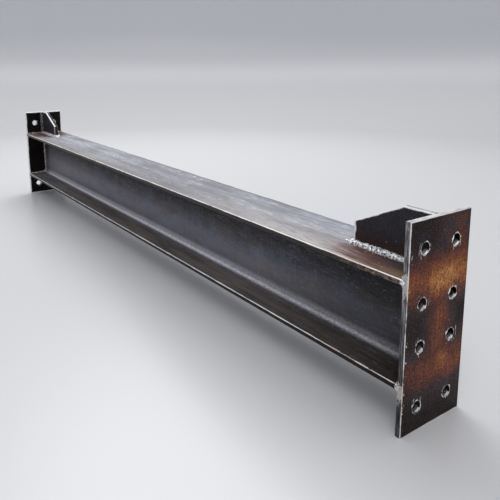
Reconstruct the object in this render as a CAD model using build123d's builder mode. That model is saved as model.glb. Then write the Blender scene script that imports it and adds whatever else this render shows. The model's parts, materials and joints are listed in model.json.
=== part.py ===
"""Fabricated steel I-beam: a rolled wide-flange section welded between two drilled end plates.

Millimetres, +Z up. The origin is on the floor, under the middle of the beam.
+X runs along the beam to the eight-hole plate (right), -X to the four-hole plate (left).
-Y is the front. The beam hangs between the plates, which stand on their lower edges.
"""

import os

from build123d import *

# Rolled section, between the inner faces of the end plates
BEAM_LENGTH = 2240.0
SECTION_DEPTH = 201.0
FLANGE_WIDTH = 165.0
FLANGE_THICKNESS = 10.2
WEB_THICKNESS = 6.2
ROOT_RADIUS = 18.0
FLANGE_TIP_RADIUS = 1.5

# End plates, cut from flat bar as wide as the flanges
PLATE_THICKNESS = 12.0
PLATE_DROP = 87.0  # below the underside of the beam
PLATE_RISE = 102.0  # above the top of the beam
PLATE_ARRIS = 1.2  # chamfer where the sawn edges were dressed

# Bolt holes, in two columns; each row is set out from the outer face of the nearer flange
HOLE_DIAMETER = 22.0
HOLE_GAUGE = 85.0
TOP_ROW_OVER_FLANGE = 51.0
UPPER_ROW_UNDER_TOP = 48.0
LOWER_ROW_OVER_BOTTOM = 74.0
BOTTOM_ROW_UNDER_FLANGE = 40.0

# Gussets, standing on the top flange over the web and flush with the top of the plates
GUSSET_THICKNESS = 15.0
GUSSET_LENGTH = 185.0
GUSSET_TOP_FLAT = 65.0
GUSSET_NOSE_HEIGHT = 47.0
GUSSET_ARRIS = 1.0

# Fillet welds, as right-angled triangles
BEAM_WELD_LEG = 7.0
GUSSET_WELD_LEG = 11.0
GUSSET_WELD_STOP = 3.0  # the upright runs end this far below the top of the gusset

# Tip welds: short crowned beads over the seam where a flange tip meets the side of the plate
TIP_WELD_WIDTH = 13.0
TIP_WELD_CROWN = 3.0

# Places that follow from the sizes above
PLATE_WIDTH = FLANGE_WIDTH
BEAM_BOTTOM = PLATE_DROP
BEAM_TOP = PLATE_DROP + SECTION_DEPTH
BEAM_MIDDLE = PLATE_DROP + SECTION_DEPTH / 2
PLATE_HEIGHT = BEAM_TOP + PLATE_RISE
LOWER_INNER_FACE = BEAM_BOTTOM + FLANGE_THICKNESS
UPPER_INNER_FACE = BEAM_TOP - FLANGE_THICKNESS
HALF_WELD_RUN = FLANGE_WIDTH / 2 - max(FLANGE_TIP_RADIUS, PLATE_ARRIS)

OUTER_ROWS = (BEAM_TOP + TOP_ROW_OVER_FLANGE, BEAM_BOTTOM - BOTTOM_ROW_UNDER_FLANGE)
INNER_ROWS = (BEAM_TOP - UPPER_ROW_UNDER_TOP, BEAM_BOTTOM + LOWER_ROW_OVER_BOTTOM)

# An end is the sign of its X, and a face is the sign of its Y
ENDS = {"right": 1, "left": -1}
FACES = {"front": -1, "back": 1}
HOLE_ROWS = {"right": OUTER_ROWS + INNER_ROWS, "left": OUTER_ROWS}


def plate_face(end):
    """X of the inner face of an end plate, where the beam and the gusset meet it."""
    return end * BEAM_LENGTH / 2


def make_beam():
    """The rolled section: two flanges and a web, with root fillets and eased flange tips."""
    with BuildPart() as beam:
        with BuildSketch(Plane.YZ) as section:
            with Locations((0, BEAM_MIDDLE)):
                Rectangle(WEB_THICKNESS, SECTION_DEPTH)
            with Locations((0, BEAM_BOTTOM), (0, UPPER_INNER_FACE)):
                Rectangle(FLANGE_WIDTH, FLANGE_THICKNESS, align=(Align.CENTER, Align.MIN))
            roots = section.vertices().filter_by(lambda corner: abs(corner.X) < WEB_THICKNESS)
            fillet(roots, ROOT_RADIUS)
            tips = section.vertices().group_by(Axis.X)
            fillet(tips[0] + tips[-1], FLANGE_TIP_RADIUS)
        extrude(amount=BEAM_LENGTH / 2, both=True)
    return beam


def make_end_plate(end, rows):
    """A flat plate across the end of the beam, drilled in two columns at the given heights."""
    holes = [(side * HOLE_GAUGE / 2, row) for row in rows for side in FACES.values()]
    with BuildPart() as plate:
        with BuildSketch(Plane.YZ.offset(plate_face(end))):
            Rectangle(PLATE_WIDTH, PLATE_HEIGHT, align=(Align.CENTER, Align.MIN))
            with Locations(*holes):
                Circle(HOLE_DIAMETER / 2, mode=Mode.SUBTRACT)
        extrude(amount=end * PLATE_THICKNESS)
        rims = plate.edges().filter_by(Axis.Y) + plate.edges().filter_by(Axis.Z)
        chamfer(rims, PLATE_ARRIS)
    return plate


def make_gusset(end):
    """A five-sided stiffener: square against the plate and flange, sloping down to a short nose."""
    heel = plate_face(end)
    shoulder = heel - end * GUSSET_TOP_FLAT
    nose = heel - end * GUSSET_LENGTH
    with BuildPart() as gusset:
        with BuildSketch(Plane.XZ):
            with BuildLine():
                Polyline(
                    (heel, BEAM_TOP),
                    (heel, PLATE_HEIGHT),
                    (shoulder, PLATE_HEIGHT),
                    (nose, BEAM_TOP + GUSSET_NOSE_HEIGHT),
                    (nose, BEAM_TOP),
                    close=True,
                )
            make_face()
        extrude(amount=GUSSET_THICKNESS / 2, both=True)
        outlines = gusset.faces().filter_by(Axis.Y).edges()
        on_flange = outlines.group_by(Axis.Z)[0]
        on_plate = outlines.group_by(Axis.X, reverse=end < 0)[-1]
        free = outlines.filter_by(lambda edge: edge not in on_flange + on_plate)
        chamfer(free, GUSSET_ARRIS)
    return gusset


def make_web_weld(end, face):
    """One run inside the section: under the top flange, down the web, out along the bottom flange."""
    heel = plate_face(end)
    web = face * WEB_THICKNESS / 2
    tip = face * HALF_WELD_RUN
    with BuildPart() as weld:
        with BuildLine(Plane.YZ.offset(heel)):
            FilletPolyline(
                (tip, UPPER_INNER_FACE),
                (web, UPPER_INNER_FACE),
                (web, LOWER_INNER_FACE),
                (tip, LOWER_INNER_FACE),
                radius=ROOT_RADIUS,
            )
        with BuildSketch(Plane.XZ.offset(-tip)):
            Polygon(
                (heel, UPPER_INNER_FACE),
                (heel - end * BEAM_WELD_LEG, UPPER_INNER_FACE),
                (heel, UPPER_INNER_FACE - BEAM_WELD_LEG),
                align=None,
            )
        sweep()
    return weld


def make_bottom_weld(end):
    """One straight run under the bottom flange."""
    heel = plate_face(end)
    with BuildPart() as weld:
        with BuildSketch(Plane.XZ):
            Polygon(
                (heel, BEAM_BOTTOM),
                (heel - end * BEAM_WELD_LEG, BEAM_BOTTOM),
                (heel, BEAM_BOTTOM - BEAM_WELD_LEG),
                align=None,
            )
        extrude(amount=HALF_WELD_RUN, both=True)
    return weld


def make_gusset_foot_weld(end, gusset):
    """One run round the foot of a gusset: along its front, round its nose and back along its back."""
    heel = plate_face(end)
    nose = heel - end * GUSSET_LENGTH
    half = GUSSET_THICKNESS / 2
    top = BEAM_TOP + GUSSET_WELD_LEG
    corners = [(nose, side * half, BEAM_TOP) for side in FACES.values()]
    with BuildPart() as weld:
        with BuildSketch(Plane.YZ.offset(heel)):
            Polygon(
                (-half - GUSSET_WELD_LEG, BEAM_TOP),
                (half + GUSSET_WELD_LEG, BEAM_TOP),
                (half, top),
                (-half, top),
                align=None,
            )
        extrude(amount=-end * GUSSET_LENGTH)
        with BuildSketch(Plane.XZ):
            Polygon(
                (nose, BEAM_TOP),
                (nose - end * GUSSET_WELD_LEG, BEAM_TOP),
                (nose, top),
                align=None,
            )
        extrude(amount=half, both=True)
        with Locations(*corners):
            Cone(GUSSET_WELD_LEG, 0, GUSSET_WELD_LEG, align=(Align.CENTER, Align.CENTER, Align.MIN))
        add(gusset.part, mode=Mode.SUBTRACT)
    return weld


def make_top_weld(end, face, foot_weld):
    """One run on the top flange, from a flange tip to the weld at the foot of the gusset."""
    heel = plate_face(end)
    low, high = sorted((face * GUSSET_THICKNESS / 2, face * HALF_WELD_RUN))
    with BuildPart() as weld:
        with BuildSketch(Plane.XZ.offset(-high)):
            Polygon(
                (heel, BEAM_TOP),
                (heel - end * BEAM_WELD_LEG, BEAM_TOP),
                (heel, BEAM_TOP + BEAM_WELD_LEG),
                align=None,
            )
        extrude(amount=high - low)
        add(foot_weld.part, mode=Mode.SUBTRACT)
    return weld


def make_upright_weld(end, face, foot_weld, top_weld):
    """One run between a gusset and its plate, from the welds on the flange up to the weld stop."""
    heel = plate_face(end)
    side = face * GUSSET_THICKNESS / 2
    with BuildPart() as weld:
        with BuildSketch(Plane.XY.offset(BEAM_TOP)):
            Polygon(
                (heel, side),
                (heel - end * GUSSET_WELD_LEG, side),
                (heel, side + face * GUSSET_WELD_LEG),
                align=None,
            )
        extrude(amount=PLATE_RISE - GUSSET_WELD_STOP)
        add(foot_weld.part, mode=Mode.SUBTRACT)
        add(top_weld.part, mode=Mode.SUBTRACT)
    return weld


def make_tip_weld(end, face, flange_bottom):
    """One short bead down a flange tip, lying half on the tip and half on the side of the plate."""
    heel = plate_face(end)
    side = face * FLANGE_WIDTH / 2
    half = TIP_WELD_WIDTH / 2
    with BuildPart() as weld:
        with BuildSketch(Plane.XY.offset(flange_bottom)):
            with BuildLine():
                ThreePointArc((heel - half, side), (heel, side + face * TIP_WELD_CROWN), (heel + half, side))
                Line((heel + half, side), (heel - half, side))
            make_face()
        extrude(amount=FLANGE_THICKNESS)
    return weld


def make_end(name, end):
    """Everything at one end of the beam: the plate, the gusset and the weld runs, by node name."""
    gusset = make_gusset(end)
    foot_weld = make_gusset_foot_weld(end, gusset)
    pieces = {
        f"end_plate_{name}": make_end_plate(end, HOLE_ROWS[name]),
        f"gusset_{name}": gusset,
        f"weld_gusset_foot_{name}": foot_weld,
        f"weld_flange_bottom_{name}": make_bottom_weld(end),
    }
    for face_name, face in FACES.items():
        top_weld = make_top_weld(end, face, foot_weld)
        pieces[f"weld_flange_top_{face_name}_{name}"] = top_weld
        pieces[f"weld_gusset_{face_name}_{name}"] = make_upright_weld(end, face, foot_weld, top_weld)
        pieces[f"weld_web_{face_name}_{name}"] = make_web_weld(end, face)
        pieces[f"weld_tip_top_{face_name}_{name}"] = make_tip_weld(end, face, UPPER_INNER_FACE)
        pieces[f"weld_tip_bottom_{face_name}_{name}"] = make_tip_weld(end, face, BEAM_BOTTOM)
    return pieces


assembly = {"i_beam": make_beam()}
for end_name, end_sign in ENDS.items():
    assembly.update(make_end(end_name, end_sign))

os.makedirs("parts", exist_ok=True)
for node, piece in assembly.items():
    piece.part.label = node
    export_step(piece.part, f"parts/{node}.step")
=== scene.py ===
"""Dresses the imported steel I-beam in Blender.

The rolled section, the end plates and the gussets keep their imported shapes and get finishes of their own:
mill scale, heat-tinted plate and black plate. Rippled beads stand for the plain welds. Metres, +Z up. +X runs
along the beam to the eight-hole plate, and -Y is the front.
"""

from __future__ import annotations

import json
import logging
import math
import random
from dataclasses import dataclass
from enum import Enum
from typing import Any, Iterator

import bpy
from mathutils import Matrix, Vector

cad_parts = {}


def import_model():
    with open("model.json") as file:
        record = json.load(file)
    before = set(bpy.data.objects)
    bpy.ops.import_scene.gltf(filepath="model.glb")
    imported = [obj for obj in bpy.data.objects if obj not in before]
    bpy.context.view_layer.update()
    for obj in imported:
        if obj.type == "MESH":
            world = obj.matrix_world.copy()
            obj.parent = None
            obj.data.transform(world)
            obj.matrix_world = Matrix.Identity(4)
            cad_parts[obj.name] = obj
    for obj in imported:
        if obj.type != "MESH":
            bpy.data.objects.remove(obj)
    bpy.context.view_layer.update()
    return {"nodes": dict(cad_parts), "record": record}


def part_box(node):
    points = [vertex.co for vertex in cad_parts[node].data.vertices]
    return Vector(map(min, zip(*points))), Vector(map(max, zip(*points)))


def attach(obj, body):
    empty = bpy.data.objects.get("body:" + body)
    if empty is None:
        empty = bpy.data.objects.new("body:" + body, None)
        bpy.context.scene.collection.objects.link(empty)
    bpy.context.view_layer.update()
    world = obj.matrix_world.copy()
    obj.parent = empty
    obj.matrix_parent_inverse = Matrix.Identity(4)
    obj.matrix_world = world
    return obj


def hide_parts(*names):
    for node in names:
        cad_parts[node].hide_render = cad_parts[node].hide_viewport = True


LOG = logging.getLogger("steel_i_beam")

MM = 0.001
BODY = "root"
ROOT_RADIUS = 18 * MM
UP = Vector((0.0, 0.0, 1.0))
DOWN = Vector((0.0, 0.0, -1.0))
SMOOTH = {"interpolation_type": "SMOOTHSTEP"}
# How closely a face has to look along a direction to count: roughly, and squarely
FACING = {1: 0.6, 2: 0.9}
SQUARE_ON = {1: 0.75, 2: 0.95}
# How high a ripple's middle stands over its root, as a share of the weld's leg
RIPPLE_LIFT = 0.34

Socket = bpy.types.NodeSocket


class End(Enum):
    """An end of the beam, as the sign of its X."""

    RIGHT = 1
    LEFT = -1

    @property
    def word(self) -> str:
        """The end's word in the names of nodes."""
        return self.name.lower()


class Face(Enum):
    """A long side of the beam, as the sign of its Y."""

    FRONT = -1
    BACK = 1

    @property
    def word(self) -> str:
        """The side's word in the names of nodes."""
        return self.name.lower()


class Seed(Enum):
    """Where the random ripples of each kind of weld start."""

    FOOT = 11
    UNDER = 12
    INSIDE = 21
    OVER = 22
    UPRIGHT = 23
    TIP = 31


@dataclass(frozen=True)
class BeamSizes:
    """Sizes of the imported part, in metres, that its finishes and beads are set out from."""

    half_length: float
    half_width: float
    beam_bottom: float
    beam_top: float
    flange_thickness: float
    half_web: float
    plate_outer: float
    plate_height: float
    half_gauge: float
    hole_radius: float
    hole_rows: dict[End, tuple[float, ...]]
    gusset_nose: float
    half_gusset: float
    beam_weld_leg: float
    gusset_weld_leg: float
    upright_weld_top: float
    half_tip_weld: float

    @classmethod
    def from_frame(cls, record: dict[str, Any]) -> BeamSizes:
        """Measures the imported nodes.

        Args:
            record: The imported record, whose bolt patterns give the holes.

        Returns:
            The sizes.
        """
        beam_low, beam_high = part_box("i_beam")
        plate_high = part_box("end_plate_right")[1]
        gusset_low, gusset_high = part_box("gusset_right")
        web_weld_low, web_weld_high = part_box("weld_web_front_right")
        foot_weld_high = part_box("weld_gusset_foot_right")[1]
        upright_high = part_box("weld_gusset_front_right")[1]
        tip_low, tip_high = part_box("weld_tip_top_front_right")
        rows: dict[End, list[float]] = {end: [] for end in End}
        patterns = [mount for mount in record["mounts"] if mount["kind"] == "bolt_pattern"]
        for mount in patterns:
            end = End.RIGHT if mount["pos_m"][0] > 0 else End.LEFT
            half_rise = mount["dims"]["spacing_y_mm"] * MM / 2
            rows[end] += [mount["pos_m"][2] - half_rise, mount["pos_m"][2] + half_rise]
        return cls(
            half_length=beam_high.x,
            half_width=beam_high.y,
            beam_bottom=beam_low.z,
            beam_top=beam_high.z,
            flange_thickness=web_weld_low.z - beam_low.z,
            half_web=-web_weld_high.y,
            plate_outer=plate_high.x,
            plate_height=plate_high.z,
            half_gauge=patterns[0]["dims"]["spacing_x_mm"] * MM / 2,
            hole_radius=patterns[0]["dims"]["hole_r_mm"] * MM,
            hole_rows={end: tuple(found) for end, found in rows.items()},
            gusset_nose=gusset_low.x,
            half_gusset=gusset_high.y,
            beam_weld_leg=beam_high.x - web_weld_low.x,
            gusset_weld_leg=foot_weld_high.z - beam_high.z,
            upright_weld_top=upright_high.z,
            half_tip_weld=(tip_high.x - tip_low.x) / 2,
        )

    @property
    def top_flange(self) -> float:
        """The height of the middle of the top flange."""
        return self.beam_top - self.flange_thickness / 2

    @property
    def bottom_flange(self) -> float:
        """The height of the middle of the bottom flange."""
        return self.beam_bottom + self.flange_thickness / 2

    @property
    def shelf(self) -> float:
        """The height of the upper face of the bottom flange."""
        return self.beam_bottom + self.flange_thickness

    @property
    def ceiling(self) -> float:
        """The height of the lower face of the top flange."""
        return self.beam_top - self.flange_thickness


def linear(colour: str) -> tuple[float, float, float, float]:
    """Turns an sRGB hex colour to linear light.

    Args:
        colour: The colour, as "#rrggbb".

    Returns:
        Red, green, blue and an alpha of 1.
    """
    shares = [int(colour[i : i + 2], 16) / 255 for i in (1, 3, 5)]
    red, green, blue = [s / 12.92 if s <= 0.04045 else ((s + 0.055) / 1.055) ** 2.4 for s in shares]
    return red, green, blue, 1.0


def coating(coat: Any) -> Any:
    """Turns a layer to what a mixing node takes.

    Args:
        coat: A hex colour, a level from 0 to 1, or another node's output.

    Returns:
        The colour in linear light, the level as a grey, or the output as it was.
    """
    if isinstance(coat, str):
        return linear(coat)
    if isinstance(coat, float):
        return coat, coat, coat, 1.0
    return coat


@dataclass(frozen=True)
class Skin:
    """How rolled steel shines, how strong and deep its pits look, and how far its arrises are eased."""

    shine: float
    pit_strength: float
    pit_depth: float
    arris_radius: float = 1.2 * MM
    arris_samples: int = 6


class FinishTree:
    """The node tree of one finish, with the places and directions that its patterns read."""

    def __init__(self, name: str) -> None:
        """Starts a material.

        Args:
            name: The finish's name.
        """
        self.material = bpy.data.materials.new(name)
        self.material.use_nodes = True
        self.tree = self.material.node_tree
        self.shader = self.tree.nodes["Principled BSDF"]
        self.place = self.add("TexCoord", out="Object")
        self.x, self.y, self.z = self.add("SeparateXYZ", {0: self.place}).node.outputs
        direction = self.add("NewGeometry", out="Normal")
        self.nx, self.ny, self.nz = self.add("SeparateXYZ", {0: direction}).node.outputs
        self.along = self.add("Math", {0: self.x}, operation="ABSOLUTE")
        self.aside = self.add("Math", {0: self.y}, operation="ABSOLUTE")

    def add(
        self, kind: str, inputs: dict[int | str, Any] | None = None, out: int | str = 0, **settings: Any
    ) -> Socket:
        """Adds one node with its settings and links.

        Args:
            kind: The node's type, without its first word.
            inputs: What goes into each socket: a number, a colour or another node's output.
            out: The output that is wanted.
            settings: The node's own properties.

        Returns:
            That output.
        """
        node = self.tree.nodes.new("ShaderNode" + kind)
        for name, value in settings.items():
            setattr(node, name, value)
        self.feed(node, inputs or {})
        return node.outputs[out]

    def feed(self, node: bpy.types.Node, inputs: dict[int | str, Any]) -> None:
        """Sets or links the sockets of a node.

        Args:
            node: The node.
            inputs: What goes into each socket.
        """
        for key, value in inputs.items():
            if isinstance(value, Socket):
                self.tree.links.new(value, node.inputs[key])
            else:
                node.inputs[key].default_value = value

    def mottle(
        self,
        size_mm: tuple[float, float, float],
        low: float,
        high: float,
        detail: float = 4.0,
        seed: float = 0.0,
    ) -> Socket:
        """Makes patches or streaks of a real size.

        Args:
            size_mm: Their size along X, Y and Z.
            low: The noise level where a patch starts.
            high: The noise level where it is full.
            detail: How ragged they are.
            seed: Moves the pattern.

        Returns:
            0 outside the patches to 1 inside them.
        """
        scale = [size * MM for size in size_mm]
        spread = self.add(
            "Mapping",
            {"Vector": self.place, "Location": (seed, seed, seed), "Scale": scale},
            vector_type="TEXTURE",
        )
        noise = self.add("TexNoise", {"Vector": spread, "Scale": 1.0, "Detail": detail, "Roughness": 0.6})
        return self.add("MapRange", {"Value": noise, "From Min": low, "From Max": high}, **SMOOTH)

    def product(self, *values: Any) -> Socket:
        """Multiplies masks and numbers together."""
        return self.pick("MULTIPLY", *values)

    def pick(self, operation: str, *values: Any) -> Socket:
        """Combines distances or masks by one rule.

        Args:
            operation: The rule, as a Math node names it.
            values: The first value, and those that the rule then takes in.

        Returns:
            The result.
        """
        total = values[0]
        for value in values[1:]:
            total = self.add("Math", {0: total, 1: value}, operation=operation)
        return total

    def layers(self, start: Any, *coats: tuple[Any, ...]) -> Socket:
        """Lays hex colours, levels or other layers over each other.

        Args:
            start: The lowest one.
            coats: A mask, what it lays on and, if not all of it, what share, for each one above.

        Returns:
            The result.
        """
        total = coating(start)
        for mask, coat, *share in coats:
            cover = self.product(mask, *share)
            total = self.add("MixRGB", {"Fac": cover, "Color1": total, "Color2": coating(coat)})
        return total

    def rolled(
        self, colour: Socket, roughness: Socket, metal: Socket, relief: Socket, skin: Skin
    ) -> bpy.types.Material:
        """Joins the layers of a rolled steel to its shader.

        Args:
            colour: The colour.
            roughness: The roughness.
            metal: How bare the metal is.
            relief: The height of the pits and marks.
            skin: The shine, the depth of the relief and the arrises.

        Returns:
            The material.
        """
        eased = self.add("Bevel", {"Radius": skin.arris_radius}, samples=skin.arris_samples)
        depth = {"Strength": skin.pit_strength, "Distance": skin.pit_depth}
        bump = self.add("Bump", {**depth, "Height": relief, "Normal": eased})
        self.feed(
            self.shader,
            {
                "Base Color": colour,
                "Roughness": roughness,
                "Metallic": metal,
                "Specular IOR Level": skin.shine,
                "Normal": bump,
            },
        )
        return self.material

    def offset(self, value: Socket, level: float) -> Socket:
        """Measures how far a coordinate is from a level, on either side.

        Args:
            value: The coordinate.
            level: The level.

        Returns:
            The distance.
        """
        difference = self.add("Math", {0: value, 1: level}, operation="SUBTRACT")
        return self.add("Math", {0: difference}, operation="ABSOLUTE")

    def near(self, value: Socket, level: float, reach: float) -> Socket:
        """Marks a band of a coordinate.

        Args:
            value: The coordinate.
            level: The middle of the band.
            reach: Where it fades out, on both sides.

        Returns:
            1 in the middle to 0 at the reach.
        """
        return self.add("MapRange", {0: self.offset(value, level), 1: reach, 2: 0.0}, **SMOOTH)

    def tempers(self, value: Socket, stops: tuple[tuple[float, str], ...]) -> Socket:
        """Turns a heat level to temper colours.

        Args:
            value: The heat, from 0 to 1.
            stops: The level and the colour of each step.

        Returns:
            The colour.
        """
        colour = self.add("ValToRGB", {"Fac": value})
        elements = colour.node.color_ramp.elements
        while len(elements) < len(stops):
            elements.new(1.0)
        for element, (level, tint) in zip(elements, stops):
            element.position = level
            element.color = linear(tint)
        return colour

    def worn(self, distance: Socket, ragged: Socket, narrow: float, wide: float) -> Socket:
        """Marks steel rubbed bare along an arris, to an uneven width.

        Args:
            distance: How far the surface is from the arris.
            ragged: A pattern that varies the width.
            narrow: The least width.
            wide: The greatest width.

        Returns:
            1 where it is bare.
        """
        width = self.add("MapRange", {0: ragged, 3: narrow, 4: wide})
        share = self.add("Math", {0: distance, 1: width}, operation="DIVIDE")
        fade = {1: 1.15, 2: 0.7}
        return self.add("MapRange", {0: share, **fade})


@dataclass(frozen=True)
class SectionZones:
    """Masks for the parts of the rolled section that wear or stain in their own way, and where shade, light
    and highlights are painted.
    """

    top: Socket
    shelf: Socket
    fillet: Socket
    fillet_toe: Socket
    under_flange: Socket
    over_root: Socket
    sooted: Socket
    top_tip: Socket
    bottom_tip: Socket
    arris: Socket
    foot_heat: Socket
    front_corner: Socket
    end_heat: Socket

    @classmethod
    def find(cls, tree: FinishTree, sizes: BeamSizes) -> SectionZones:
        """Finds the zones by place and direction.

        Args:
            tree: The finish that they are for.
            sizes: The beam.

        Returns:
            The masks.
        """
        root_reach = sizes.half_width / 2
        over_shelf = tree.add("Math", {0: tree.z, 1: sizes.shelf}, operation="SUBTRACT")
        off_shelf = tree.add("MapRange", {0: over_shelf, 1: 2 * MM, 2: 7 * MM})
        inner = tree.add("MapRange", {0: tree.aside, 1: root_reach, 2: root_reach - 2 * MM})
        outer = tree.add("MapRange", {0: tree.aside, 1: root_reach, 2: root_reach + 2 * MM})
        root_edge = sizes.half_web + ROOT_RADIUS
        beyond_root = tree.add("MapRange", {0: tree.aside, 1: root_edge, 2: root_edge + 4 * MM})
        middle = (sizes.beam_top + sizes.beam_bottom) / 2
        upper = tree.add("MapRange", {0: tree.z, 1: middle, 2: middle + 10 * MM})
        lower = tree.add("MapRange", {0: tree.z, 1: middle, 2: middle - 10 * MM})
        level = tree.add("MapRange", {0: tree.nz, **FACING})
        high = tree.add("MapRange", {0: tree.z, 1: sizes.beam_top - 4 * MM, 2: sizes.beam_top - 2 * MM})
        upright = tree.add("Math", {0: tree.ny}, operation="ABSOLUTE")
        tip = tree.product(tree.add("MapRange", {0: upright, **SQUARE_ON}), outer)
        to_tip = tree.add("Math", {0: sizes.half_width, 1: tree.aside}, operation="SUBTRACT")
        to_rim = tree.pick("MINIMUM", tree.offset(tree.z, sizes.beam_top), tree.offset(tree.z, sizes.shelf))
        ragged = tree.mottle((50, 9, 9), 0.3, 0.66, detail=5.0, seed=9.2)
        # Twice as wide on the level face as on the tip
        arris = tree.worn(tree.pick("MAXIMUM", tree.product(to_tip, 0.5), to_rim), ragged, 0.7 * MM, 1.6 * MM)
        unbroken = tree.mottle((22, 14, 14), 0.32, 0.4, detail=4.0, seed=2.4)

        before_nose = tree.add("Math", {0: sizes.gusset_nose, 1: tree.along}, operation="SUBTRACT")
        beside = tree.add("Math", {0: tree.aside, 1: sizes.half_gusset}, operation="SUBTRACT")
        before_nose = tree.product(tree.pick("MAXIMUM", before_nose, 0.0), 2.0)
        reach = tree.add("CombineXYZ", {0: before_nose, 1: tree.pick("MAXIMUM", beside, 0.0)})
        from_gusset = tree.add("VectorMath", {0: reach}, out="Value", operation="LENGTH")
        from_plate = tree.add("Math", {0: sizes.half_length, 1: tree.along}, operation="SUBTRACT")
        foot_heat = tree.add("MapRange", {0: from_gusset, 1: 118 * MM, 2: 4 * MM})
        # The whole corner stayed hot longest, next to the plate
        corner = tree.add("MapRange", {0: from_plate, 1: 205 * MM, 2: 85 * MM, 3: 0.22})
        patchy = tree.mottle((80, 9, 26), 0.32, 0.68, detail=6.0, seed=4.4)
        patchy = tree.add("MapRange", {0: patchy, 3: 0.54, 4: 1.25})
        by_end = tree.add("MapRange", {0: tree.x, 1: -sizes.half_length, 2: sizes.half_length, 3: 0.6})
        by_plate = tree.add("MapRange", {0: from_plate, 1: 90 * MM, 2: 0.0}, **SMOOTH)
        # Soot with painted shade darkens the section towards the plate at the near end
        soot_and_shade_start = 0.6
        soot_and_shade_full = sizes.half_length - 60 * MM
        return cls(
            top=tree.product(level, high),
            shelf=tree.product(level, lower, beyond_root),
            # Painted highlight along the lower root fillet, with a weaker one beside it
            fillet=tree.product(tree.near(over_shelf, 5 * MM, 5 * MM), inner),
            fillet_toe=tree.product(tree.near(over_shelf, 12 * MM, 14 * MM), inner, off_shelf),
            # Painted shade: the web is painted darker towards the top flange, which shades it
            under_flange=tree.product(
                inner, tree.add("MapRange", {0: tree.z, 1: middle - 16 * MM, 2: middle + 68 * MM})
            ),
            # Painted light: the web is painted paler towards the bottom flange, where more light reaches it
            over_root=tree.product(inner, off_shelf, tree.near(over_shelf, 40 * MM, 70 * MM)),
            sooted=tree.add("MapRange", {0: tree.x, 1: soot_and_shade_start, 2: soot_and_shade_full}, **SMOOTH),
            top_tip=tree.product(tip, upper),
            bottom_tip=tree.product(tip, lower),
            arris=tree.product(arris, unbroken),
            foot_heat=tree.product(foot_heat, corner, level, high, patchy, by_end),
            front_corner=tree.product(
                tree.add("MapRange", {0: from_plate, 1: 110 * MM, 2: 20 * MM}, **SMOOTH),
                tree.add("MapRange", {0: tree.aside, 1: 40 * MM, 2: 66 * MM}, **SMOOTH),
                0.85,
            ),
            end_heat=tree.product(by_plate, patchy),
        )


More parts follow.
